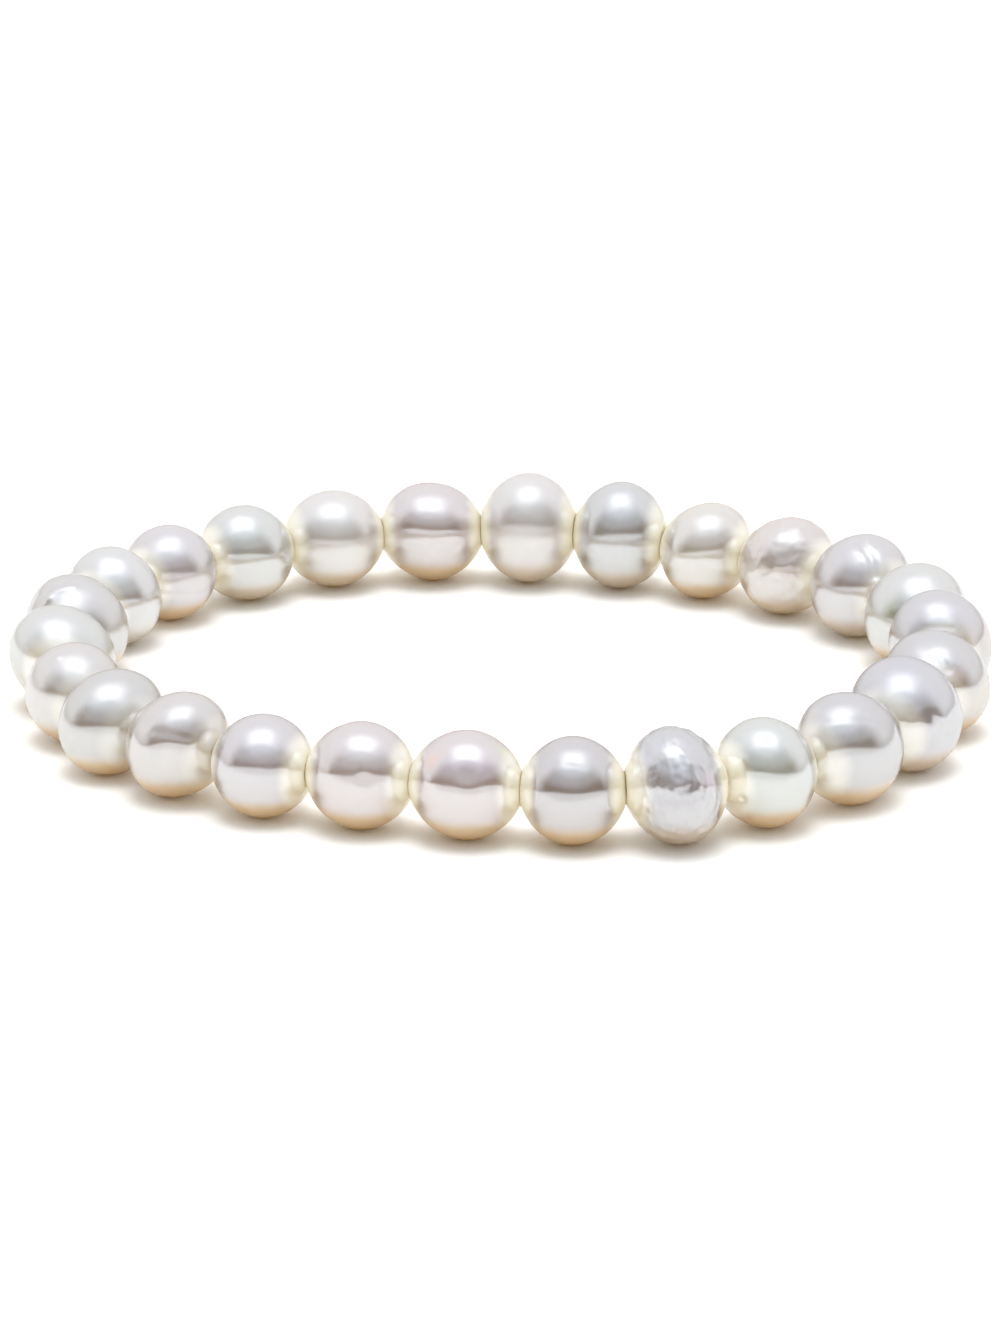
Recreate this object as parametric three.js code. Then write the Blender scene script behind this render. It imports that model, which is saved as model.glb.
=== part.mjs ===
// A stretch bracelet of 26 freshwater pearls, lying flat as a closed oval. Millimetres, +Z up.
import * as THREE from 'three';

// Driving sizes
const pearlLength = 7.22; // usual pearl, along the string
const pearlWidth = 7.45; // usual pearl, across the string and level with the floor
const pearlHeight = 7.6; // usual pearl, from the floor to its top
const pearlGap = 0.03; // between the skins of two neighbours
const threadDiameter = 0.6; // elastic cord
const drillClearance = 0.05; // all round the cord in its drill hole

// Fineness of the faceted solids
const pearlSides = 16;
const pearlBands = 10;
const threadSides = 6;
const tiny = 1e-6; // rounding in comparisons

// The oval that the string lies on: its radius swells and narrows by these shares as it goes round
const stringStart = THREE.MathUtils.degToRad(-103.6);
const ovalWaves = [
  { waves: 2, cosine: 0.066, sine: -0.033 },
  { waves: 3, cosine: -0.010, sine: -0.002 },
  { waves: 4, cosine: -0.007, sine: 0.017 },
];

const tints = {
  silver: { color: '#dcdadb', roughness: 0.22, metalness: 0.1 },
  lavender: { color: '#d6d0d8', roughness: 0.22, metalness: 0.1 },
  cream: { color: '#e9e0d2', roughness: 0.28, metalness: 0.05 },
  rose: { color: '#e2cfc6', roughness: 0.25, metalness: 0.05 },
  sage: { color: '#d9d9cd', roughness: 0.25, metalness: 0.05 },
};

// One row for each pearl, anticlockwise from the front middle. length, width and height are shares of the
// usual pearl. taper narrows the top and widens the foot. lean moves the top along the string, and slope moves
// it away from the wrist, both as shares of the pearl's own size. out is how far off centre it is drilled, as a
// share of its width. Each swell is a hump, or a hollow where its rise is negative, facing along, out and up,
// with its spread in degrees and its rise as a share of the pearl.
const pearlRows = [
  { tint: 'lavender', length: 1.06, width: 0.99, height: 1.00, taper: 0, lean: 0, slope: 0, out: -0.02 },
  { tint: 'silver', length: 0.98, width: 0.98, height: 0.99, taper: 0.02, lean: 0, slope: 0, out: -0.02 },
  {
    tint: 'silver', length: 0.94, width: 1.10, height: 1.07, taper: 0.02, lean: -0.03, slope: 0, out: 0.04,
    swells: [
      { along: -0.6, out: 0.5, up: 0.6, spread: 24, rise: 0.02 },
      { along: 0.75, out: 0.3, up: 0.5, spread: 28, rise: -0.05 },
    ],
  },
  { tint: 'sage', length: 0.96, width: 0.99, height: 1.02, taper: 0, lean: -0.02, slope: 0, out: -0.04 },
  {
    tint: 'silver', length: 1.13, width: 0.95, height: 1.05, taper: 0, lean: -0.04, slope: -0.02, out: 0.01,
    swells: [{ along: -0.2, out: -0.6, up: 0.8, spread: 30, rise: 0.03 }],
  },
  {
    tint: 'silver', length: 1.12, width: 1.07, height: 1.06, taper: 0, lean: 0, slope: -0.05, out: -0.02,
    swells: [{ along: -0.1, out: 0.95, up: -0.1, spread: 14, rise: -0.03 }],
  },
  {
    tint: 'rose', length: 1.03, width: 1.03, height: 0.99, taper: 0, lean: 0, slope: -0.04, out: 0,
    swells: [{ along: -0.4, out: 0.0, up: 0.9, spread: 16, rise: -0.03 }],
  },
  { tint: 'lavender', length: 1.00, width: 1.00, height: 1.06, taper: 0, lean: 0, slope: -0.03, out: 0.02 },
  { tint: 'sage', length: 1.02, width: 1.01, height: 1.00, taper: 0, lean: 0, slope: 0.04, out: 0.02 },
  {
    tint: 'silver', length: 1.04, width: 1.00, height: 1.02, taper: 0.02, lean: -0.04, slope: 0.02, out: -0.01,
    swells: [{ along: -0.3, out: 0.1, up: 0.9, spread: 12, rise: -0.03 }],
  },
  {
    tint: 'rose', length: 0.99, width: 1.01, height: 0.97, taper: 0, lean: -0.04, slope: 0, out: -0.03,
    swells: [{ along: -0.6, out: 0.1, up: 0.75, spread: 24, rise: -0.03 }],
  },
  { tint: 'cream', length: 0.94, width: 1.00, height: 0.96, taper: 0, lean: -0.04, slope: 0, out: 0 },
  { tint: 'silver', length: 0.96, width: 1.01, height: 1.07, taper: 0.05, lean: 0, slope: 0, out: 0.02 },
  { tint: 'lavender', length: 0.99, width: 1.04, height: 1.10, taper: -0.01, lean: 0, slope: 0, out: 0 },
  { tint: 'lavender', length: 1.05, width: 0.99, height: 0.98, taper: -0.07, lean: 0.02, slope: 0, out: 0 },
  { tint: 'cream', length: 1.03, width: 0.99, height: 0.96, taper: 0, lean: 0, slope: 0, out: -0.01 },
  { tint: 'sage', length: 1.00, width: 0.95, height: 0.95, taper: 0.05, lean: 0.02, slope: 0, out: -0.02 },
  { tint: 'silver', length: 0.96, width: 0.94, height: 0.94, taper: 0, lean: 0, slope: 0, out: 0.02 },
  { tint: 'sage', length: 0.92, width: 0.96, height: 0.96, taper: 0.03, lean: 0, slope: 0.04, out: 0.02 },
  {
    tint: 'rose', length: 1.00, width: 1.00, height: 0.97, taper: 0.02, lean: 0, slope: 0.06, out: 0,
    swells: [{ along: 0.3, out: 0.7, up: 0.6, spread: 14, rise: -0.03 }],
  },
  { tint: 'sage', length: 1.03, width: 1.03, height: 0.99, taper: 0, lean: 0, slope: 0.06, out: -0.02 },
  { tint: 'rose', length: 0.98, width: 0.95, height: 0.95, taper: 0, lean: 0, slope: 0, out: -0.03 },
  {
    tint: 'rose', length: 0.94, width: 1.05, height: 0.97, taper: 0, lean: 0, slope: -0.04, out: 0.01,
    swells: [{ along: 0.0, out: -0.85, up: 0.5, spread: 26, rise: 0.03 }],
  },
  { tint: 'rose', length: 0.98, width: 1.01, height: 1.00, taper: 0, lean: 0.07, slope: 0, out: 0.01 },
  { tint: 'lavender', length: 0.96, width: 0.98, height: 0.95, taper: 0, lean: -0.01, slope: 0, out: 0.02 },
  { tint: 'lavender', length: 1.02, width: 0.97, height: 0.99, taper: -0.01, lean: 0, slope: 0, out: -0.02 },
];

const drillRadius = threadDiameter / 2 + drillClearance;
const pearls = pearlRows.map((row) => ({
  ...row,
  size: new THREE.Vector3(row.length * pearlLength, row.width * pearlWidth, row.height * pearlHeight),
}));

// How much string a pearl takes up: each bend is half the turn that the string takes at that end of the pearl
function stringTaken(pearl, bends) {
  return bends.reduce((sum, bend) => {
    const skin = Math.hypot((pearl.size.x / 2) * Math.cos(bend), (pearl.size.y / 2) * Math.sin(bend));
    return sum + (skin + pearlGap / 2) / Math.cos(bend);
  }, 0);
}

function pointOnOval(angle, radius) {
  const swell = ovalWaves.reduce(
    (sum, wave) => sum + wave.cosine * Math.cos(wave.waves * angle) + wave.sine * Math.sin(wave.waves * angle),
    1,
  );
  return new THREE.Vector2(Math.cos(angle), Math.sin(angle)).multiplyScalar(radius * swell);
}

const bisectSteps = 48;

function bisect(low, high, isTooHigh) {
  for (let step = 0; step < bisectSteps; step += 1) {
    const middle = (low + high) / 2;
    if (isTooHigh(middle)) high = middle;
    else low = middle;
  }
  return (low + high) / 2;
}

function walkOval(radius, chords) {
  const angles = [stringStart];
  for (const chord of chords) {
    const from = angles.at(-1);
    const start = pointOnOval(from, radius);
    angles.push(bisect(from, from + 1, (angle) => pointOnOval(angle, radius).distanceTo(start) > chord));
  }
  return angles;
}

function halfTurns(spots) {
  return spots.map((spot, index) => {
    const before = spot.clone().sub(spots.at(index - 1));
    const after = spots[(index + 1) % spots.length].clone().sub(spot);
    return before.angleTo(after) / 2;
  });
}

// Where the string lies: each knuckle is the point between two pearls, and the cord bends only there.
// The bends follow from where the pearls lie and the other way round, so they settle in a few rounds.
const settleRounds = 5;

function layString() {
  let bends = pearls.map(() => Math.PI / pearls.length);
  let spots = [];
  for (let round = 0; round < settleRounds; round += 1) {
    const chords = pearls.map((pearl, index) => {
      return stringTaken(pearl, [bends[index], bends[(index + 1) % bends.length]]);
    });
    const roundRadius = chords.reduce((sum, chord) => sum + chord, 0) / (2 * Math.PI);
    const ovalRadius = bisect(roundRadius / 2, roundRadius * 2, (radius) => {
      return walkOval(radius, chords).at(-1) - stringStart < 2 * Math.PI;
    });
    spots = walkOval(ovalRadius, chords).slice(0, -1).map((angle) => pointOnOval(angle, ovalRadius));
    bends = halfTurns(spots);
  }
  return spots;
}

const knuckles = layString().map((spot, index) => {
  const level = (pearls.at(index - 1).size.z + pearls[index].size.z) / 4;
  return new THREE.Vector3(spot.x, spot.y, level);
});

// A round bead with its drill hole, as a closed profile turned round the hole
function beadProfile(drillAngle) {
  const profile = [];
  for (let band = 0; band <= pearlBands; band += 1) {
    const angle = drillAngle + ((Math.PI - 2 * drillAngle) * band) / pearlBands;
    profile.push(new THREE.Vector2(Math.sin(angle), -Math.cos(angle)));
  }
  profile.push(profile[0].clone());
  return profile;
}

// A pearl keeps its plain form at its two ends, where its neighbours touch it
function awayFromEnds(facing) {
  return 1 - facing.x ** 4;
}

// How far a pearl's skin stands out from a plain ellipsoid, facing this way
function swellAt(pearl, facing) {
  return (pearl.swells ?? []).reduce((sum, swell) => {
    const centre = new THREE.Vector3(swell.along, -swell.out, swell.up).normalize();
    const spread = 1 - Math.cos(THREE.MathUtils.degToRad(swell.spread));
    return sum + swell.rise * awayFromEnds(facing) * Math.exp((facing.dot(centre) - 1) / spread);
  }, 1);
}

// The pearl's skin facing this way: x along the string, y towards the wrist, z up from the pearl's own middle
function skinAt(pearl, facing) {
  const swell = swellAt(pearl, facing);
  const taper = 1 - pearl.taper * facing.z * awayFromEnds(facing);
  const lean = pearl.lean * facing.z * awayFromEnds(facing);
  return new THREE.Vector3(
    pearl.size.x * ((facing.x / 2) * swell * taper + lean),
    pearl.size.y * ((facing.y / 2) * swell * taper - pearl.slope * facing.z - pearl.out),
    pearl.size.z * (facing.z / 2) * swell,
  );
}

// The drill hole follows the cord, which rises or falls a little between pearls of unlike height
function drillAt(pearl, facing, from, to) {
  const chord = Math.hypot(to.x - from.x, to.y - from.y);
  const along = (pearl.size.x / 2) * facing.x;
  const level = THREE.MathUtils.lerp(from.z, to.z, 0.5 + along / chord);
  const round = drillRadius / Math.hypot(facing.y, facing.z);
  return new THREE.Vector3(along, facing.y * round, level + facing.z * round);
}

function makePearl(pearl, from, to) {
  const drillAngle = Math.asin((2 * drillRadius) / pearl.size.z);
  const rimAlong = Math.cos(drillAngle);
  const geometry = new THREE.LatheGeometry(beadProfile(drillAngle), pearlSides);
  const position = geometry.getAttribute('position');
  const points = [];
  let foot = Infinity;
  for (let index = 0; index < position.count; index += 1) {
    const facing = new THREE.Vector3(position.getY(index), position.getZ(index), position.getX(index));
    const isSkin = Math.abs(facing.x) < rimAlong - tiny;
    const point = isSkin ? skinAt(pearl, facing) : drillAt(pearl, facing, from, to);
    if (isSkin) foot = Math.min(foot, point.z);
    points.push({ isSkin, point });
  }
  points.forEach(({ isSkin, point }, index) => {
    position.setXYZ(index, point.x, point.y, isSkin ? point.z - foot : point.z);
  });
  geometry.computeVertexNormals();

  const mesh = new THREE.Mesh(geometry, new THREE.MeshStandardMaterial(tints[pearl.tint]));
  mesh.position.set((from.x + to.x) / 2, (from.y + to.y) / 2, 0);
  mesh.rotation.z = Math.atan2(to.y - from.y, to.x - from.x);
  return mesh;
}

// The elastic cord: a ring with one section at each knuckle, so it runs straight through every drill hole
function makeThread() {
  const ringRadius = 1;
  const geometry = new THREE.TorusGeometry(ringRadius, threadDiameter / 2, threadSides, knuckles.length);
  const position = geometry.getAttribute('position');
  const uv = geometry.getAttribute('uv');
  for (let index = 0; index < position.count; index += 1) {
    const station = Math.round(uv.getX(index) * knuckles.length) % knuckles.length;
    const knuckle = knuckles[station];
    const before = knuckles.at(station - 1);
    const after = knuckles[(station + 1) % knuckles.length];
    const outwards = new THREE.Vector2(after.y - before.y, before.x - after.x).normalize();
    const offset = Math.hypot(position.getX(index), position.getY(index)) - ringRadius;
    const rise = position.getZ(index);
    position.setXYZ(index, knuckle.x + outwards.x * offset, knuckle.y + outwards.y * offset, knuckle.z + rise);
  }
  geometry.computeVertexNormals();
  const material = new THREE.MeshStandardMaterial({ color: '#e8e6e0', roughness: 0.5, metalness: 0 });
  return new THREE.Mesh(geometry, material);
}

const bracelet = new THREE.Group();
pearls.forEach((pearl, index) => {
  const mesh = makePearl(pearl, knuckles[index], knuckles[(index + 1) % knuckles.length]);
  mesh.name = `pearl_${String(index + 1).padStart(2, '0')}`;
  bracelet.add(mesh);
});
const thread = makeThread();
thread.name = 'elastic_thread';
bracelet.add(thread);

// The origin is under the middle of the oval, on the floor
bracelet.updateMatrixWorld(true);
const middle = new THREE.Box3().setFromObject(bracelet, true).getCenter(new THREE.Vector3());
bracelet.position.set(-middle.x, -middle.y, 0);

export default bracelet;
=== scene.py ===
import math

import bpy
import numpy as np
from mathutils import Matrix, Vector


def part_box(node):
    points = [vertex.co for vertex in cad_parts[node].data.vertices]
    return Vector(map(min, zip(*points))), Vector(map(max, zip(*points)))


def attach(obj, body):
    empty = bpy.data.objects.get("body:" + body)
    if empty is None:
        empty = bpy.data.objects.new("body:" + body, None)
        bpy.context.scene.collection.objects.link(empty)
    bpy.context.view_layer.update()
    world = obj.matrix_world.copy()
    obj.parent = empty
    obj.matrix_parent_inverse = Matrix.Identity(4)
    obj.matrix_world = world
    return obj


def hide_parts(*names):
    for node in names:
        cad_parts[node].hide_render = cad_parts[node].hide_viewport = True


# A stretch bracelet of 26 white freshwater pearls, lying on a white table under an overhead softbox
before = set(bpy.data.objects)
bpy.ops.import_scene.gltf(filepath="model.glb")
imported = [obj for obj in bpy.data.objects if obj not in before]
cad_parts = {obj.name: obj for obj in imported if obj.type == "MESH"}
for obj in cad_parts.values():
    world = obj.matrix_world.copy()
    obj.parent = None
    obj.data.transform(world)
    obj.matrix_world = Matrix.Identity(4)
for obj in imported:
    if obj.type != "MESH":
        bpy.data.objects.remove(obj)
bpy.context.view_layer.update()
mm = 0.001
print("frame loaded")


# Node helpers

def feed(tree, socket, value):
    # a socket gets a wire, anything else becomes its value
    if isinstance(value, bpy.types.NodeSocket):
        tree.links.new(value, socket)
    elif value is not None:
        socket.default_value = value


def addNode(tree, kind, wires=None, **settings):
    node = tree.nodes.new(kind)
    for name, value in settings.items():
        setattr(node, name, value)
    for name, value in (wires or {}).items():
        feed(tree, node.inputs[name], value)
    return node


def maths(tree, operation, *values):
    node = addNode(tree, "ShaderNodeMath", operation=operation)
    for socket, value in zip(node.inputs, values):
        feed(tree, socket, value)
    return node.outputs[0]


def vectorMaths(tree, operation, *values):
    node = addNode(tree, "ShaderNodeVectorMath", operation=operation)
    for socket, value in zip(node.inputs, values):
        feed(tree, socket, value)
    return node.outputs[0]


def mixFloat(tree, factor, first, second):
    node = addNode(tree, "ShaderNodeMix", {"Factor": factor})
    feed(tree, node.inputs[2], first)
    feed(tree, node.inputs[3], second)
    return node.outputs[0]


def newGeometryTree(name, sizes):
    # sizes: input name -> socket kind; geometry goes in and comes out
    tree = bpy.data.node_groups.new(name, "GeometryNodeTree")
    tree.is_modifier = True
    tree.interface.new_socket("Geometry", in_out="INPUT", socket_type="NodeSocketGeometry")
    tree.interface.new_socket("Geometry", in_out="OUTPUT", socket_type="NodeSocketGeometry")
    for size, kind in sizes.items():
        tree.interface.new_socket(size, in_out="INPUT", socket_type="NodeSocket" + kind)
    return tree, tree.nodes.new("NodeGroupInput").outputs


def endTree(tree, geometry, material):
    # plain mesh with its material, no instances left
    real = addNode(tree, "GeometryNodeRealizeInstances", {"Geometry": geometry})
    smooth = addNode(tree, "GeometryNodeSetShadeSmooth", {"Geometry": real.outputs[0]})
    done = addNode(tree, "GeometryNodeSetMaterial", {"Geometry": smooth.outputs[0], "Material": material})
    out = tree.nodes.new("NodeGroupOutput")
    tree.links.new(done.outputs[0], out.inputs[0])


def growMesh(name, startMesh, tree, values):
    # runs the tree on the start mesh and keeps only the finished mesh
    carrier = bpy.data.objects.new(name + "Start", startMesh)
    bpy.context.scene.collection.objects.link(carrier)
    modifier = carrier.modifiers.new("form", "NODES")
    modifier.node_group = tree
    for item in tree.interface.items_tree:
        if item.in_out == "INPUT" and item.name in values:
            modifier[item.identifier] = values[item.name]
    seen = carrier.evaluated_get(bpy.context.evaluated_depsgraph_get())
    mesh = bpy.data.meshes.new_from_object(seen)
    carrier.modifiers.remove(modifier)
    bpy.data.objects.remove(carrier)
    mesh.name = name
    piece = bpy.data.objects.new(name, mesh)
    bpy.context.scene.collection.objects.link(piece)
    return piece


# Camera: the long side of the picture is 36 mm of sensor

camera = {
    "elevation": math.radians(19.528),
    "distance": 519.98 * mm,
    "lens": 195.593,
    "lookAt": Vector((-0.098, -2.379, 3.7)) * mm,
    "nearest": 10 * mm,
    "farthest": 20,
}


def aimCamera():
    data = bpy.data.cameras.new("studioCamera")
    data.lens = camera["lens"]
    data.clip_start = camera["nearest"]
    data.clip_end = camera["farthest"]
    viewer = bpy.data.objects.new("studioCamera", data)
    up = camera["elevation"]
    back = Vector((0, -math.cos(up), math.sin(up)))
    viewer.location = camera["lookAt"] + back * camera["distance"]
    viewer.rotation_euler = (math.pi / 2 - up, 0, 0)
    bpy.context.scene.collection.objects.link(viewer)
    bpy.context.scene.camera = viewer


# Table and light

table = {
    "reach": 6.0,
    "colour": (0.87, 0.87, 0.85, 1),
    "roughness": 0.9,
    "lamp": 1.45,  # a lamp straight above that lights the table alone, which is far brighter than the beads
    "lampWidth": math.radians(34),
    "paintedShadeGlow": 0.030,  # painted golden light: a faint warm glow in the table, which shows only in the shade under the pearls
    "paintedShadeGlowColour": (1.0, 0.62, 0.10, 1),
}
sky = {
    "strength": 1.32,
    "bounces": 12,  # pearl to pearl, so the light does not run out between them
    "turn": (-0.45, 0.10),  # where the front gives way to the back
    "wall": (0.82, 0.83, 0.84, 1),  # the tent's low white wall in front of the table
    "wallTop": 0.26,  # its height as a share of its distance
    "wallEdge": 0.02,  # half of its soft top edge
    "front": [  # above the table on the camera's side, by the height of the direction
        (0.00, (0.030, 0.021, 0.018, 1)),
        (0.25, (0.080, 0.065, 0.062, 1)),
        (0.60, (0.385, 0.410, 0.450, 1)),
        (0.92, (0.800, 0.860, 0.940, 1)),
    ],
    "back": [  # and on the far side
        (0.00, (0.56, 0.56, 0.58, 1)),
        (0.25, (0.84, 0.84, 0.86, 1)),
        (0.92, (0.92, 0.93, 0.99, 1)),
    ],
    "softbox": 1.05,  # brightness of the softbox overhead
    "softboxSide": (0.10, 0.60),  # full and gone, to either side
    "softboxFront": (-0.46, -0.20),  # gone and full, towards the camera
    "softboxBack": (0.00, 0.52),  # full and gone, away from the camera
    "softboxFoot": (0.00, 0.30),  # gone and full, by the height of the direction
}


def layTable():
    reach = table["reach"]
    corners = [(-reach, -reach, 0), (reach, -reach, 0), (reach, reach, 0), (-reach, reach, 0)]
    mesh = bpy.data.meshes.new("whiteTable")
    mesh.from_pydata(corners, [], [(0, 1, 2, 3)])
    material = bpy.data.materials.new("tableCard")
    material.use_nodes = True
    shader = material.node_tree.nodes["Principled BSDF"]
    shader.inputs["Base Color"].default_value = table["colour"]
    shader.inputs["Roughness"].default_value = table["roughness"]
    shader.inputs["Specular IOR Level"].default_value = 0
    # the table's warm glow is painted golden light for the shade under the pearls
    shader.inputs["Emission Color"].default_value = table["paintedShadeGlowColour"]
    shader.inputs["Emission Strength"].default_value = table["paintedShadeGlow"]
    mesh.materials.append(material)
    plane = bpy.data.objects.new("whiteTable", mesh)
    bpy.context.scene.collection.objects.link(plane)
    light = bpy.data.lights.new("tableLamp", "SUN")
    light.energy = table["lamp"]
    light.angle = table["lampWidth"]
    lamp = bpy.data.objects.new("tableLamp", light)
    bpy.context.scene.collection.objects.link(lamp)
    lit = bpy.data.collections.new("litByTableLamp")
    lit.objects.link(plane)
    lamp.light_linking.receiver_collection = lit


def colourRamp(tree, factor, stops):
    ramp = addNode(tree, "ShaderNodeValToRGB", {"Fac": factor})
    ramp.color_ramp.interpolation = "EASE"
    elements = ramp.color_ramp.elements
    while len(elements) < len(stops):
        elements.new(0.5)
    for element, (place, colour) in zip(elements, stops):
        element.position = place
        element.color = colour
    return ramp.outputs["Color"]


def fade(tree, value, start, end):
    # 0 before start and 1 after end, smooth between them
    node = addNode(tree, "ShaderNodeMapRange", {"Value": value, "From Min": start, "From Max": end},
                   interpolation_type="SMOOTHSTEP")
    return node.outputs[0]


def mixColour(tree, factor, first, second, blend="MIX"):
    node = addNode(tree, "ShaderNodeMix", data_type="RGBA", blend_type=blend)
    for identifier, value in (("Factor_Float", factor), ("A_Color", first), ("B_Color", second)):
        feed(tree, next(s for s in node.inputs if s.identifier == identifier), value)
    return next(s for s in node.outputs if s.identifier == "Result_Color")


def lightRoom():
    world = bpy.data.worlds.new("studioSky")
    bpy.context.scene.world = world
    world.use_nodes = True
    tree = world.node_tree
    tree.nodes.clear()
    direction = addNode(tree, "ShaderNodeTexCoord").outputs["Generated"]
    x, y, z = addNode(tree, "ShaderNodeSeparateXYZ", {"Vector": direction}).outputs
    front = colourRamp(tree, z, sky["front"])
    back = colourRamp(tree, z, sky["back"])
    room = mixColour(tree, fade(tree, y, *sky["turn"]), front, back)
    overWall = maths(tree, "MULTIPLY_ADD", y, sky["wallTop"], z)
    aboveWall = fade(tree, overWall, -sky["wallEdge"], sky["wallEdge"])
    room = mixColour(tree, aboveWall, sky["wall"], room)
    side = fade(tree, maths(tree, "ABSOLUTE", x), *sky["softboxSide"])
    lit = maths(tree, "MULTIPLY", maths(tree, "SUBTRACT", 1.0, side), fade(tree, y, *sky["softboxFront"]))
    lit = maths(tree, "MULTIPLY", lit, maths(tree, "SUBTRACT", 1.0, fade(tree, y, *sky["softboxBack"])))
    lit = maths(tree, "MULTIPLY", lit, fade(tree, z, *sky["softboxFoot"]))
    roomGlow = addNode(tree, "ShaderNodeBackground", {"Color": room, "Strength": sky["strength"]})
    lampGlow = addNode(tree, "ShaderNodeBackground",
                       {"Color": (1, 1, 1, 1), "Strength": maths(tree, "MULTIPLY", lit, sky["softbox"])})
    both = addNode(tree, "ShaderNodeAddShader")
    tree.links.new(roomGlow.outputs[0], both.inputs[0])
    tree.links.new(lampGlow.outputs[0], both.inputs[1])
    addNode(tree, "ShaderNodeOutputWorld", {"Surface": both.outputs[0]})
    bpy.context.scene.view_settings.view_transform = "Standard"
    bpy.context.scene.cycles.diffuse_bounces = sky["bounces"]
    bpy.context.scene.cycles.glossy_bounces = sky["bounces"]


# Nacre: a warm white body under thin layers that mirror a cool light

nacre = {
    "ior": 6.5,  # many thin layers mirror far more than one surface does
    "mirrorTint": (0.760, 0.800, 0.835, 1),
    "coat": 0.3,
    "coatRoughness": 0.08,
    "depth": 0.8 * mm,  # how far light wanders inside
    "wander": (1.0, 0.9, 0.75),  # red goes furthest
    "tints": {
        "silver": (0.50, 0.405, 0.340, 1),
        "lavender": (0.56, 0.425, 0.350, 1),
        "cream": (0.65, 0.550, 0.415, 1),
        "rose": (0.61, 0.475, 0.370, 1),
        "sage": (0.55, 0.500, 0.400, 1),
    },
    # painted golden light, by how far the skin faces down, stands in for the warm shaded floor it mirrors;
    # painted cream light, by how far it faces a neighbour, stands in for light bounced between beads
    "paintedUnderGlow": {"colour": (0.70, 0.43, 0.13, 1), "from": 0.34, "to": 0.64},
    "ends": {"colour": (0.99, 0.875, 0.63, 1), "from": 0.63, "to": 0.85},
    "patchSize": 3.2 * mm,
    "patchDetail": 2.0,
    "patchWarp": 0.6,
    "patches": [  # soft clouds of overtone that multiply the tint
        (0.30, (0.97, 1.00, 0.97, 1)),
        (0.50, (1.00, 1.00, 1.00, 1)),
        (0.70, (1.00, 0.975, 0.985, 1)),
    ],
    "grainSize": 0.35 * mm,
    "grainDepth": 0.0006 * mm,
    "grainDetail": 3.0,
}


def paintNacre(tint):
    material = bpy.data.materials.new("nacre" + tint.capitalize())
    material.use_nodes = True
    tree = material.node_tree
    shader = tree.nodes["Principled BSDF"]
    place = addNode(tree, "ShaderNodeTexCoord").outputs["Object"]
    clouds = addNode(tree, "ShaderNodeTexNoise", {
        "Vector": place, "Scale": 1 / nacre["patchSize"],
        "Detail": nacre["patchDetail"], "Distortion": nacre["patchWarp"],
    })
    patches = colourRamp(tree, clouds.outputs[0], nacre["patches"])
    overtone = addNode(tree, "ShaderNodeAttribute", attribute_name="overtone").outputs["Color"]
    body = mixColour(tree, 1.0, patches, overtone, "MULTIPLY")
    body = mixColour(tree, 1.0, body, nacre["tints"][tint], "MULTIPLY")
    # painted light: golden underneath and cream at the ends, mixed over the body colour
    for zone in ("paintedUnderGlow", "ends"):
        share = addNode(tree, "ShaderNodeAttribute", attribute_name=zone).outputs["Fac"]
        body = mixColour(tree, share, body, nacre[zone]["colour"])
    # the more of an end a spot is, the less light wanders inside: share is that of the last zone
    feed(tree, shader.inputs["Subsurface Weight"], maths(tree, "SUBTRACT", 1.0, share))
    feed(tree, shader.inputs["Base Color"], body)
    lustre = addNode(tree, "ShaderNodeAttribute", attribute_name="lustre").outputs["Fac"]
    feed(tree, shader.inputs["Roughness"], lustre)
    grain = addNode(tree, "ShaderNodeTexNoise", {
        "Vector": place, "Scale": 1 / nacre["grainSize"], "Detail": nacre["grainDetail"],
    }).outputs[0]
    bump = addNode(tree, "ShaderNodeBump", {"Height": grain, "Distance": nacre["grainDepth"]})
    feed(tree, shader.inputs["Normal"], bump.outputs[0])
    for name, value in {
        "IOR": nacre["ior"],
        "Specular Tint": nacre["mirrorTint"],
        "Coat Weight": nacre["coat"], "Coat Roughness": nacre["coatRoughness"],
        "Subsurface Radius": nacre["wander"], "Subsurface Scale": nacre["depth"],
    }.items():
        shader.inputs[name].default_value = value
    return material


# The string: an oval that the pearls sit on end to end

string = {
    "start": math.radians(-103.6),
    "waves": [(2, 0.066, -0.033), (3, -0.010, -0.002), (4, -0.007, 0.017)],  # waves round it, cosine, sine
    "gap": 0.03 * mm,
    "hairline": 0.004 * mm,  # between two beads where they press on each other
    "bisectSteps": 48,
    "settleRounds": 5,
}
bead = {
    "length": 7.22 * mm,
    "width": 7.45 * mm,
    "height": 7.6 * mm,
    "drillRadius": 0.35 * mm,
    "rimRound": 0.03 * mm,
    "press": 0.24 * mm,  # how far each end is pushed at its neighbour, then worn flat
    "edgeRound": 0.01 * mm,
    "sides": 128,
    "bands": 96,
    "rippleDetail": 1.0,
    "seed": 7,
    "pathSteps": 3,  # points within one spread of a mark's path
}
plainPearl = {
    "taper": 0, "lean": 0, "slope": 0, "out": 0, "swells": [], "marks": [], "blushes": [],
    "tone": (1, 1, 1), "paintedUnderGlowStrength": 1, "cream": 1,
    "roughness": 0.16, "rippleDepth": 0.026, "rippleSize": 0.6,
}
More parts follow.
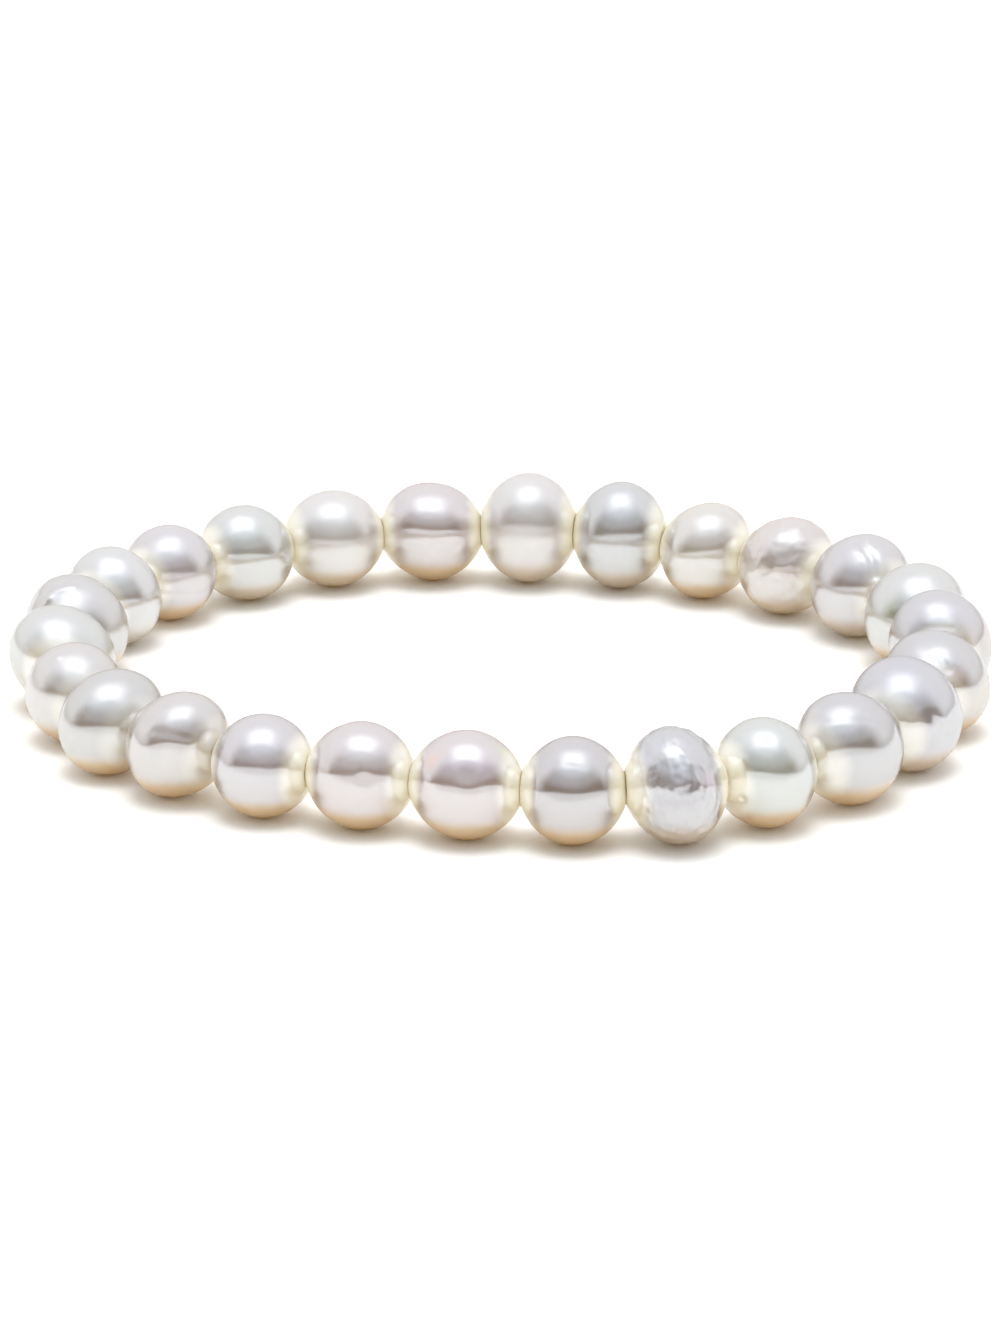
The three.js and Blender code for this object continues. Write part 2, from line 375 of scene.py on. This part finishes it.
# Anticlockwise from the front middle. Sizes are shares of the usual bead. Taper narrows the top, lean moves
# it along the string, slope moves it away from the wrist, and out is how far off centre the bead is drilled.
# Tone multiplies the tint, and the glow strength and cream set how strongly the painted golden light
# underneath and the painted cream light at the ends show.
# Swells and marks rise from the skin along a path, by shares of its radius, and blushes change its tone.
# A path's points are (along, out, up), and spreads are in degrees.
pearls = [
    dict(tint="lavender", length=1.06, width=0.99, height=1.00, out=-0.02, roughness=0.14,
         marks=[dict(path=[(0.20, 0.84, 0.50)], spread=9, rise=-0.018),
                dict(path=[(-0.45, 0.80, 0.30)], spread=8, rise=0.014)],
         blushes=[dict(path=[(-0.47, 0.57, 0.62)], spread=9, strength=0.9, colour=(1.35, 0.90, 0.65)),
                  dict(path=[(0.69, 0.09, 0.71)], spread=10, strength=0.9, colour=(1.10, 1.35, 0.65)),
                  dict(path=[(-0.15, 0.72, 0.60), (0.45, 0.60, 0.62)], spread=11, strength=0.7,
                       colour=(0.90, 0.72, 0.88))]),
    dict(tint="silver", length=0.98, width=0.98, height=0.99, taper=0.02, out=-0.02,
         tone=(0.82, 0.77, 0.73), roughness=0.13,
         marks=[dict(path=[(-0.10, 0.67, 0.73), (0.25, 0.69, 0.69)], spread=3, rise=-0.005)]),
    dict(tint="silver", length=0.94, width=1.10, height=1.07, taper=0.02, lean=-0.03, out=0.04,
         tone=(0.82, 0.86, 0.90), roughness=0.20, rippleDepth=0.060, rippleSize=0.18, paintedUnderGlowStrength=0.5,
         swells=[dict(path=[(-0.6, 0.5, 0.6)], spread=24, rise=0.02),
                 dict(path=[(0.75, 0.3, 0.5)], spread=28, rise=-0.05)],
         marks=[dict(path=[(-0.57, -0.01, 0.82)], spread=8, rise=0.025),
                dict(path=[(-0.61, 0.58, 0.54), (-0.10, 0.74, 0.66), (0.27, 0.80, 0.52)],
                     spread=6, rise=-0.008),
                dict(path=[(-0.73, 0.65, 0.21), (-0.30, 0.90, 0.30), (0.15, 0.88, 0.44)],
                     spread=6, rise=0.008),
                dict(path=[(0.10, 0.95, 0.20), (0.45, 0.85, 0.28)], spread=6, rise=-0.006)],
         blushes=[dict(path=[(-0.73, 0.29, 0.62)], spread=11, strength=0.7, colour=(0.82, 0.84, 1.12)),
                  dict(path=[(0.50, 0.79, 0.36)], spread=10, strength=0.7, colour=(1.10, 0.82, 1.02)),
                  # painted reflection: a dark brown band low on the front, where the bead mirrors the dark
                  # room
                  dict(path=[(-0.55, 0.84, 0.02), (0.05, 1.00, 0.06)], spread=8, strength=0.7,
                       colour=(0.50, 0.38, 0.40))]),
    dict(tint="sage", length=0.96, width=0.99, height=1.02, lean=-0.02, out=-0.04, tone=(0.96, 1.00, 0.98),
         marks=[dict(path=[(-0.83, 0.51, -0.20)], spread=3, rise=-0.025),
                dict(path=[(-0.86, 0.10, 0.45)], spread=5, rise=0.014),
                dict(path=[(-0.74, 0.44, 0.50)], spread=5, rise=0.013)],
         # the pit is painted near black as well as dented
         blushes=[dict(path=[(-0.83, 0.51, -0.20)], spread=3, strength=0.95, colour=(0.2, 0.18, 0.16))]),
    dict(tint="silver", length=1.13, width=0.95, height=1.05, lean=-0.04, slope=-0.02, out=0.01,
         tone=(0.84, 0.86, 0.86), cream=0.6,
         swells=[dict(path=[(-0.2, -0.6, 0.8)], spread=30, rise=0.03)],
         marks=[dict(path=[(-0.69, 0.15, 0.71), (0.00, 0.76, 0.65)], spread=3, rise=-0.005)],
         blushes=[dict(path=[(-0.63, -0.29, 0.72)], spread=10, strength=0.6, colour=(1.3, 1.25, 1.05))]),
    dict(tint="silver", length=1.12, width=1.07, height=1.06, slope=-0.05, out=-0.02,
         tone=(0.86, 0.90, 0.98), roughness=0.14, paintedUnderGlowStrength=0.6, cream=0.6,
         swells=[dict(path=[(-0.1, 0.95, -0.1)], spread=14, rise=-0.03)],
         marks=[dict(path=[(-0.82, 0.47, 0.32)], spread=7, rise=-0.008),
                dict(path=[(-0.63, 0.73, 0.28), (-0.53, 0.84, 0.08), (-0.39, 0.90, -0.18)],
                     spread=7, rise=-0.018)],
         blushes=[dict(path=[(-0.82, 0.47, 0.32)], spread=6, strength=0.6, colour=(0.65, 0.65, 0.72)),
                  dict(path=[(-0.03, -0.11, 0.99), (-0.47, 0.56, 0.68)], spread=10, strength=0.6,
                       colour=(0.82, 0.80, 1.10))]),
    dict(tint="rose", length=1.03, width=1.03, height=0.99, slope=-0.04, tone=(0.70, 0.75, 0.79), cream=0.6,
         swells=[dict(path=[(-0.4, 0.0, 0.9)], spread=16, rise=-0.03)],
         marks=[dict(path=[(-0.61, 0.15, 0.77), (-0.75, 0.35, 0.55)], spread=6, rise=-0.025)],
         blushes=[dict(path=[(-0.72, 0.50, 0.45)], spread=10, strength=0.8, colour=(0.95, 0.70, 0.60)),
                  dict(path=[(-0.25, 0.96, 0.02), (-0.60, 0.78, -0.15)], spread=16, strength=0.7,
                       colour=(1.05, 0.98, 0.70))]),
    dict(tint="lavender", length=1.00, width=1.00, height=1.06, slope=-0.03, out=0.02,
         tone=(0.82, 0.90, 0.98), roughness=0.13, cream=0.6,
         marks=[dict(path=[(-0.74, -0.38, 0.56), (-0.80, 0.19, 0.57)], spread=3, rise=-0.009)],
         # painted shade: an olive darkening on this side, where the bead mirrors a dimmer room
         blushes=[dict(path=[(-0.80, 0.55, 0.10), (-0.30, 0.95, 0.10)], spread=18, strength=0.8,
                       colour=(0.85, 0.78, 0.55))]),
    dict(tint="sage", length=1.02, width=1.01, height=1.00, slope=0.04, out=0.02,
         blushes=[dict(path=[(-0.53, -0.77, 0.36)], spread=10, strength=0.7, colour=(0.85, 1.02, 0.65))]),
    dict(tint="silver", length=1.04, width=1.00, height=1.02, taper=0.02, lean=-0.04, slope=0.02, out=-0.01,
         tone=(1.00, 1.02, 1.05), paintedUnderGlowStrength=0.5, cream=0.7,
         swells=[dict(path=[(-0.3, 0.1, 0.9)], spread=12, rise=-0.03)],
         marks=[dict(path=[(0.00, -0.27, 0.96), (-0.54, -0.30, 0.79), (-0.80, -0.36, 0.49)],
                     spread=6, rise=-0.050)]),
    dict(tint="rose", length=0.99, width=1.01, height=0.97, lean=-0.04, out=-0.03,
         tone=(0.98, 0.98, 0.96), roughness=0.23, rippleDepth=0.040, rippleSize=0.20, paintedUnderGlowStrength=0.6,
         swells=[dict(path=[(-0.6, 0.1, 0.75)], spread=24, rise=-0.03)],
         marks=[dict(path=[(-0.22, -0.89, 0.40), (-0.70, -0.51, 0.51)], spread=6, rise=-0.012),
                dict(path=[(-0.17, -0.98, 0.10), (-0.72, -0.69, -0.08)], spread=6, rise=-0.010),
                dict(path=[(0.20, -0.75, 0.60), (-0.35, -0.55, 0.75)], spread=6, rise=0.010)],
         blushes=[dict(path=[(-0.56, -0.82, 0.14)], spread=9, strength=0.8, colour=(0.95, 0.70, 0.66))]),
    dict(tint="cream", length=0.94, width=1.00, height=0.96, lean=-0.04, roughness=0.18,
         marks=[dict(path=[(-0.37, -0.14, 0.92), (-0.80, -0.12, 0.59)], spread=4, rise=-0.018)]),
    dict(tint="silver", length=0.96, width=1.01, height=1.07, taper=0.05, out=0.02,
         tone=(0.92, 1.00, 0.99), roughness=0.16, paintedUnderGlowStrength=0.5),
    dict(tint="lavender", length=0.99, width=1.04, height=1.10, taper=-0.01,
         tone=(1.14, 1.28, 1.30), roughness=0.26, paintedUnderGlowStrength=0.5,
         marks=[dict(path=[(-0.19, -0.98, -0.07), (-0.51, -0.85, -0.09)], spread=3, rise=-0.011)]),
    dict(tint="lavender", length=1.05, width=0.99, height=0.98, taper=-0.07, lean=0.02,
         marks=[dict(path=[(-0.18, -0.98, 0.03), (-0.46, -0.89, -0.03)], spread=4, rise=-0.018)]),
    dict(tint="cream", length=1.03, width=0.99, height=0.96, out=-0.01,
         tone=(1.00, 1.02, 1.10), roughness=0.25, paintedUnderGlowStrength=0.7),
    dict(tint="sage", length=1.00, width=0.95, height=0.95, taper=0.05, lean=0.02, out=-0.02, paintedUnderGlowStrength=0.5),
    dict(tint="silver", length=0.96, width=0.94, height=0.94, out=0.02,
         tone=(1.10, 1.10, 1.16), roughness=0.21,
         marks=[dict(path=[(0.83, -0.54, -0.14), (0.48, -0.85, -0.19), (-0.11, -0.96, -0.27)],
                     spread=4, rise=-0.020)]),
    dict(tint="sage", length=0.92, width=0.96, height=0.96, taper=0.03, slope=0.04, out=0.02,
         tone=(1.06, 1.05, 1.10), paintedUnderGlowStrength=0.3,
         marks=[dict(path=[(-0.14, -0.52, 0.85), (-0.26, -0.73, 0.63)], spread=5, rise=-0.014)]),
    dict(tint="rose", length=1.00, width=1.00, height=0.97, taper=0.02, slope=0.06,
         tone=(0.80, 0.86, 0.88), roughness=0.20, rippleDepth=0.030, cream=0.6,
         swells=[dict(path=[(0.3, 0.7, 0.6)], spread=14, rise=-0.03)],
         marks=[dict(path=[(0.68, 0.36, 0.63), (0.52, 0.16, 0.84), (0.39, -0.17, 0.91)],
                     spread=5, rise=0.035),
                dict(path=[(0.65, 0.27, 0.71)], spread=4, rise=0.025)]),
    dict(tint="sage", length=1.03, width=1.03, height=0.99, slope=0.06, out=-0.02, roughness=0.20,
         # painted shade: an olive darkening on this side, where the bead mirrors a dimmer room
         blushes=[dict(path=[(0.70, 0.66, -0.20), (0.10, 0.99, -0.10)], spread=20, strength=0.9,
                       colour=(0.80, 0.76, 0.55))]),
    dict(tint="rose", length=0.98, width=0.95, height=0.95, out=-0.03,
         tone=(0.90, 0.96, 0.97), roughness=0.20, cream=0.5,
         marks=[dict(path=[(0.29, 0.42, 0.86)], spread=4, rise=0.022)]),
    dict(tint="rose", length=0.94, width=1.05, height=0.97, slope=-0.04, out=0.01,
         tone=(0.74, 0.80, 0.77), roughness=0.18, cream=0.3,
         swells=[dict(path=[(0.0, -0.85, 0.5)], spread=26, rise=0.03)]),
    dict(tint="rose", length=0.98, width=1.01, height=1.00, lean=0.07, out=0.01,
         tone=(0.84, 0.86, 0.86), cream=0.35,
         marks=[dict(path=[(0.05, 0.85, 0.53), (0.70, 0.57, 0.44)], spread=4, rise=-0.011)]),
    dict(tint="lavender", length=0.96, width=0.98, height=0.95, lean=-0.01, out=0.02,
         tone=(0.88, 0.94, 1.00)),
    dict(tint="lavender", length=1.02, width=0.97, height=0.99, taper=-0.01, out=-0.02,
         marks=[dict(path=[(0.37, 0.90, 0.25)], spread=9, rise=-0.018),
                dict(path=[(-0.30, 0.90, 0.32)], spread=8, rise=0.011),
                dict(path=[(0.56, -0.04, 0.83), (0.75, 0.20, 0.63)], spread=4, rise=0.007)]),
]
pearls = [{**plainPearl, **pearl} for pearl in pearls]
for pearl in pearls:
    pearl["size"] = Vector([pearl[side] * bead[side] for side in ("length", "width", "height")])


def stringTaken(pearl, bends):
    # each bend is half the turn of the string at that end of the pearl
    taken = 0
    for bend in bends:
        skin = math.hypot(pearl["size"].x / 2 * math.cos(bend), pearl["size"].y / 2 * math.sin(bend))
        taken += (skin + string["gap"] / 2) / math.cos(bend)
    return taken


def pointOnOval(angle, radius):
    waves = string["waves"]
    swell = 1 + sum(c * math.cos(n * angle) + s * math.sin(n * angle) for n, c, s in waves)
    return Vector((math.cos(angle), math.sin(angle))) * radius * swell


def bisect(low, high, isTooHigh):
    for step in range(string["bisectSteps"]):
        middle = (low + high) / 2
        if isTooHigh(middle):
            high = middle
        else:
            low = middle
    return (low + high) / 2


def walkOval(radius, chords):
    angles = [string["start"]]
    for chord in chords:
        start = pointOnOval(angles[-1], radius)
        step = bisect(0, 1, lambda turn: (pointOnOval(angles[-1] + turn, radius) - start).length > chord)
        angles.append(angles[-1] + step)
    return angles


def layString():
    # the bends follow from where the pearls lie and the other way round, so they settle in a few rounds
    count = len(pearls)
    bends = [math.pi / count] * count
    for settling in range(string["settleRounds"]):
        chords = [stringTaken(pearls[i], (bends[i], bends[(i + 1) % count])) for i in range(count)]
        roundRadius = sum(chords) / math.tau
        radius = bisect(roundRadius / 2, roundRadius * 2,
                        lambda size: walkOval(size, chords)[-1] - string["start"] < math.tau)
        spots = [pointOnOval(angle, radius) for angle in walkOval(radius, chords)[:-1]]
        runs = [spots[(i + 1) % count] - spots[i] for i in range(count)]
        bends = [runs[i - 1].angle(runs[i]) / 2 for i in range(count)]
    return spots, bends


def findKnuckles():
    # the point between each two pearls, at half their mean height; the cord bends only there
    spots, bends = layString()
    levels = [(pearls[i - 1]["size"].z + pearls[i]["size"].z) / 4 for i in range(len(pearls))]
    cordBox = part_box("elastic_thread")
    middle = (cordBox[0] + cordBox[1]) / 2
    shift = []
    for axis in (0, 1):
        reached = [spot[axis] for spot in spots]
        shift.append(middle[axis] - (min(reached) + max(reached)) / 2)
    knuckles = [Vector((spot.x + shift[0], spot.y + shift[1], level)) for spot, level in zip(spots, levels)]
    return knuckles, bends


# Pearls: a drilled unit bead in mesh code, shaped by a Geometry Nodes tree

def nearPath(facing, mark):
    # 1 on the mark's path over the skin, fading with the mark's spread in degrees
    points = [Vector((a, -o, u)).normalized() for a, o, u in mark["path"]]
    closest = facing @ np.array(points[0])
    for first, last in zip(points, points[1:]):
        arc = first.angle(last)
        steps = math.ceil(math.degrees(arc) / mark["spread"] * bead["pathSteps"])
        for step in np.linspace(0, 1, 1 + steps):
            closest = np.maximum(closest, facing @ np.array(first.slerp(last, step)))
    return np.exp((closest - 1) / (1 - math.cos(math.radians(mark["spread"]))))


def zoneShare(value, zone):
    # 0 to 1 between the zone's two limits, smooth at both
    share = np.clip((value - zone["from"]) / (zone["to"] - zone["from"]), 0, 1)
    return share * share * (3 - 2 * share)


def unitBead(pearl):
    # points are directions from the bead's middle: x along the string, y to the wrist, z up
    rim = math.asin(2 * (bead["drillRadius"] + bead["rimRound"]) / pearl["size"].z)
    sides, bands = bead["sides"], bead["bands"]
    angles = np.linspace(rim, math.pi - rim, bands + 1)
    turns = np.arange(sides) * math.tau / sides
    along = -np.cos(angles)
    across = np.sin(angles)
    wallAlong = np.cos(rim) - 2 * bead["rimRound"] / pearl["size"].x
    along = np.concatenate([along, [wallAlong, -wallAlong]])
    across = np.concatenate([across, [1, 1]])
    isSkin = np.concatenate([np.ones(bands + 1, bool), [False, False]])
    rings = len(along)
    points = np.stack([
        np.repeat(along, sides),
        np.outer(across, np.cos(turns)).ravel(),
        np.outer(across, np.sin(turns)).ravel(),
    ], axis=1)
    ring, side = np.meshgrid(np.arange(rings), np.arange(sides), indexing="ij")
    nextRing, nextSide = (ring + 1) % rings, (side + 1) % sides
    quads = np.stack([ring * sides + side, ring * sides + nextSide,
                      nextRing * sides + nextSide, nextRing * sides + side], axis=-1).reshape(-1, 4)
    mesh = bpy.data.meshes.new("unitBead")
    mesh.from_pydata(points.tolist(), [], quads.tolist())
    skin = np.repeat(isSkin, sides)
    away = 1 - points[:, 0] ** 4  # swells die out at the two ends
    facing = points / np.linalg.norm(points, axis=1)[:, None]
    rise = np.zeros(len(points))
    for swell in pearl["swells"]:
        rise += swell["rise"] * away * nearPath(facing, swell)
    for mark in pearl["marks"]:
        rise += mark["rise"] * nearPath(facing, mark)
    overtone = np.tile(np.array([*pearl["tone"], 1.0]), (len(points), 1))
    for blush in pearl["blushes"]:
        weight = (nearPath(facing, blush) * blush["strength"])[:, None]
        overtone[:, :3] = overtone[:, :3] * (1 - weight) + np.array(blush["colour"]) * weight
    mesh.attributes.new("skin", "BOOLEAN", "POINT").data.foreach_set("value", skin)
    for name, values in {
        "rise": rise,
        # painted cream light at the ends, standing in for light bounced between neighbouring beads
        "ends": pearl["cream"] * zoneShare(np.abs(facing[:, 0]), nacre["ends"]),
        # painted golden light underneath, standing in for the warm shaded floor the bead mirrors
        "paintedUnderGlow": pearl["paintedUnderGlowStrength"] * zoneShare(-facing[:, 2], nacre["paintedUnderGlow"]),
        "lustre": np.full(len(points), pearl["roughness"]),
    }.items():
        mesh.attributes.new(name, "FLOAT", "POINT").data.foreach_set("value", values.astype(np.float32))
    paint = mesh.attributes.new("overtone", "FLOAT_COLOR", "POINT")
    paint.data.foreach_set("color", overtone.astype(np.float32).ravel())
    return mesh


def named(tree, attribute, kind):
    node = addNode(tree, "GeometryNodeInputNamedAttribute", {"Name": attribute}, data_type=kind)
    return node.outputs["Attribute"]


def buildPearlTree():
    tree, size = newGeometryTree("pearlForm", {
        "Length": "Float", "Width": "Float", "Height": "Float", "Taper": "Float", "Lean": "Float",
        "Slope": "Float", "Off Centre": "Float", "Hole Radius": "Float", "Cord In": "Float",
        "Cord Out": "Float", "Cord Run": "Float", "Bend In": "Float", "Bend Out": "Float",
        "Press": "Float", "Hairline": "Float", "Edge Round": "Float",
        "Ripple Depth": "Float", "Ripple Size": "Float",
        "Seed": "Float", "Place": "Vector", "Heading": "Float", "Nacre": "Material",
    })
    facing = addNode(tree, "GeometryNodeInputPosition").outputs[0]
    x, y, z = addNode(tree, "ShaderNodeSeparateXYZ", {"Vector": facing}).outputs
    skin = named(tree, "skin", "BOOLEAN")
    square = maths(tree, "MULTIPLY", x, x)
    away = maths(tree, "SUBTRACT", 1.0, maths(tree, "MULTIPLY", square, square))
    # a freshwater pearl is never quite even: slow ripples, none at the two ends
    ripple = addNode(tree, "ShaderNodeTexNoise",
                     {"Vector": facing, "W": size["Seed"], "Detail": bead["rippleDetail"]},
                     noise_dimensions="4D")
    feed(tree, ripple.inputs["Scale"], maths(tree, "DIVIDE", 1.0, size["Ripple Size"]))
    waves = maths(tree, "MULTIPLY", maths(tree, "SUBTRACT", ripple.outputs[0], 0.5), size["Ripple Depth"])
    rise = maths(tree, "ADD", named(tree, "rise", "FLOAT"), maths(tree, "MULTIPLY", waves, away))
    swell = maths(tree, "ADD", 1.0, rise)
    topward = maths(tree, "MULTIPLY", z, away)
    taper = maths(tree, "SUBTRACT", 1.0, maths(tree, "MULTIPLY", size["Taper"], topward))
    half = maths(tree, "MULTIPLY", 0.5, swell)
    girth = maths(tree, "MULTIPLY", half, taper)
    skinX = maths(tree, "MULTIPLY_ADD", x, girth, maths(tree, "MULTIPLY", size["Lean"], topward))
    drift = maths(tree, "MULTIPLY_ADD", size["Slope"], z, size["Off Centre"])
    skinY = maths(tree, "SUBTRACT", maths(tree, "MULTIPLY", y, girth), drift)
    skinPoint = addNode(tree, "ShaderNodeCombineXYZ", {
        "X": maths(tree, "MULTIPLY", size["Length"], skinX),
        "Y": maths(tree, "MULTIPLY", size["Width"], skinY),
        "Z": maths(tree, "MULTIPLY", size["Height"], maths(tree, "MULTIPLY", z, half)),
    }).outputs[0]
    # the drill hole follows the cord through the bead
    holeX = maths(tree, "MULTIPLY", maths(tree, "MULTIPLY", size["Length"], 0.5), x)
    reached = maths(tree, "ADD", maths(tree, "DIVIDE", holeX, size["Cord Run"]), 0.5)
    climb = maths(tree, "SUBTRACT", size["Cord Out"], size["Cord In"])
    level = maths(tree, "MULTIPLY_ADD", climb, reached, size["Cord In"])
    holePoint = addNode(tree, "ShaderNodeCombineXYZ", {
        "X": holeX,
        "Y": maths(tree, "MULTIPLY", y, size["Hole Radius"]),
        "Z": maths(tree, "MULTIPLY_ADD", z, size["Hole Radius"], level),
    }).outputs[0]
    # the lowest point of the skin stands on the table
    skinZ = addNode(tree, "ShaderNodeSeparateXYZ", {"Vector": skinPoint}).outputs["Z"]
    start = size["Geometry"]
    lowest = addNode(tree, "GeometryNodeAttributeStatistic",
                     {"Geometry": start, "Selection": skin, "Attribute": skinZ}, data_type="FLOAT")
    lift = addNode(tree, "ShaderNodeCombineXYZ",
                   {"Z": maths(tree, "MULTIPLY", lowest.outputs["Min"], -1.0)}).outputs[0]
    standing = vectorMaths(tree, "ADD", skinPoint, lift)
    # two beads press on each other and are worn flat in the plane between them
    standX, standY, standZ = addNode(tree, "ShaderNodeSeparateXYZ", {"Vector": standing}).outputs
    reach = maths(tree, "MULTIPLY_ADD", maths(tree, "MULTIPLY", square, square), size["Press"],
                  maths(tree, "ABSOLUTE", standX))
    bend = mixFloat(tree, maths(tree, "GREATER_THAN", x, 0.0), size["Bend In"], size["Bend Out"])
    halfRun = maths(tree, "MULTIPLY", maths(tree, "SUBTRACT", size["Cord Run"], size["Hairline"]), 0.5)
    plane = maths(tree, "SUBTRACT", halfRun, maths(tree, "MULTIPLY", standY, maths(tree, "TANGENT", bend)))
    worn = maths(tree, "SMOOTH_MIN", reach, plane, size["Edge Round"])
    standing = addNode(tree, "ShaderNodeCombineXYZ", {
        "X": maths(tree, "MULTIPLY", maths(tree, "SIGN", standX), worn), "Y": standY, "Z": standZ,
    }).outputs[0]
    chosen = addNode(tree, "GeometryNodeSwitch",
                     {"Switch": skin, "False": holePoint, "True": standing}, input_type="VECTOR").outputs[0]
    turned = addNode(tree, "ShaderNodeVectorRotate", {"Vector": chosen, "Angle": size["Heading"]},
                     rotation_type="Z_AXIS").outputs[0]
    placed = vectorMaths(tree, "ADD", turned, size["Place"])
    moved = addNode(tree, "GeometryNodeSetPosition", {"Geometry": start, "Position": placed})
    endTree(tree, moved.outputs[0], size["Nacre"])
    return tree


def stringPearls(knuckles, bends):
    tree = buildPearlTree()
    materials = {tint: paintNacre(tint) for tint in nacre["tints"]}
    worst = 0
    for index, pearl in enumerate(pearls):
        name = f"pearl_{index + 1:02d}"
        entry, leave = knuckles[index], knuckles[(index + 1) % len(pearls)]
        run = leave - entry
        piece = growMesh(f"nacre_pearl_{index + 1:02d}", unitBead(pearl), tree, {
            "Length": pearl["size"].x, "Width": pearl["size"].y, "Height": pearl["size"].z,
            "Taper": float(pearl["taper"]), "Lean": float(pearl["lean"]), "Slope": float(pearl["slope"]),
            "Off Centre": float(pearl["out"]), "Hole Radius": bead["drillRadius"],
            "Cord In": entry.z, "Cord Out": leave.z, "Cord Run": math.hypot(run.x, run.y),
            "Bend In": bends[index], "Bend Out": bends[(index + 1) % len(pearls)],
            "Press": bead["press"], "Hairline": string["hairline"], "Edge Round": bead["edgeRound"],
            "Ripple Depth": pearl["rippleDepth"], "Ripple Size": pearl["rippleSize"],
            "Seed": float(bead["seed"] + index),
            "Place": ((entry.x + leave.x) / 2, (entry.y + leave.y) / 2, 0.0),
            "Heading": math.atan2(run.y, run.x), "Nacre": materials[pearl["tint"]],
        })
        low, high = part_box(name)
        mine = np.array([v.co for v in piece.data.vertices])
        worst = max(worst, np.abs(mine.min(0) - low).max(), np.abs(mine.max(0) - high).max())
        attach(piece, "root")
        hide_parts(name)
    print(f"pearls strung: {len(pearls)}, at most {worst / mm:.3f} mm from their solids")


# Elastic cord: a tube that follows the knuckles

cord = {
    "diameter": 0.6 * mm,
    "bendRadius": 0.6 * mm,
    "sides": 16,
    "strandsPerMetre": 9000.0,
    "strandDetail": 2.0,
    "tones": [(0.3, (0.78, 0.76, 0.70, 1)), (0.7, (0.88, 0.87, 0.83, 1))],
    "roughness": 0.45,
}


def buildCordTree():
    tree, size = newGeometryTree("cordTube", {
        "Radius": "Float", "Bend Radius": "Float", "Sides": "Int", "Elastic": "Material",
    })
    path = addNode(tree, "GeometryNodeMeshToCurve", {"Mesh": size["Geometry"]}).outputs[0]
    soft = addNode(tree, "GeometryNodeFilletCurve", {"Curve": path, "Radius": size["Bend Radius"]})
    ring = addNode(tree, "GeometryNodeCurvePrimitiveCircle",
                   {"Resolution": size["Sides"], "Radius": size["Radius"]}).outputs[0]
    tube = addNode(tree, "GeometryNodeCurveToMesh", {"Curve": soft.outputs[0], "Profile Curve": ring})
    endTree(tree, tube.outputs[0], size["Elastic"])
    return tree


def paintElastic():
    material = bpy.data.materials.new("clearElastic")
    material.use_nodes = True
    tree = material.node_tree
    shader = tree.nodes["Principled BSDF"]
    place = addNode(tree, "ShaderNodeTexCoord").outputs["Object"]
    strands = addNode(tree, "ShaderNodeTexNoise", {
        "Vector": place, "Scale": cord["strandsPerMetre"], "Detail": cord["strandDetail"],
    }).outputs[0]
    feed(tree, shader.inputs["Base Color"], colourRamp(tree, strands, cord["tones"]))
    shader.inputs["Roughness"].default_value = cord["roughness"]
    return material


def threadCord(knuckles):
    count = len(knuckles)
    mesh = bpy.data.meshes.new("cordPath")
    mesh.from_pydata([tuple(k) for k in knuckles], [(i, (i + 1) % count) for i in range(count)], [])
    piece = growMesh("elastic_cord", mesh, buildCordTree(), {
        "Radius": cord["diameter"] / 2, "Bend Radius": cord["bendRadius"], "Sides": cord["sides"],
        "Elastic": paintElastic(),
    })
    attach(piece, "root")
    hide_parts("elastic_thread")
    print("cord threaded")


aimCamera()
layTable()
lightRoom()
print("studio ready")
knuckles, bends = findKnuckles()
stringPearls(knuckles, bends)
threadCord(knuckles)
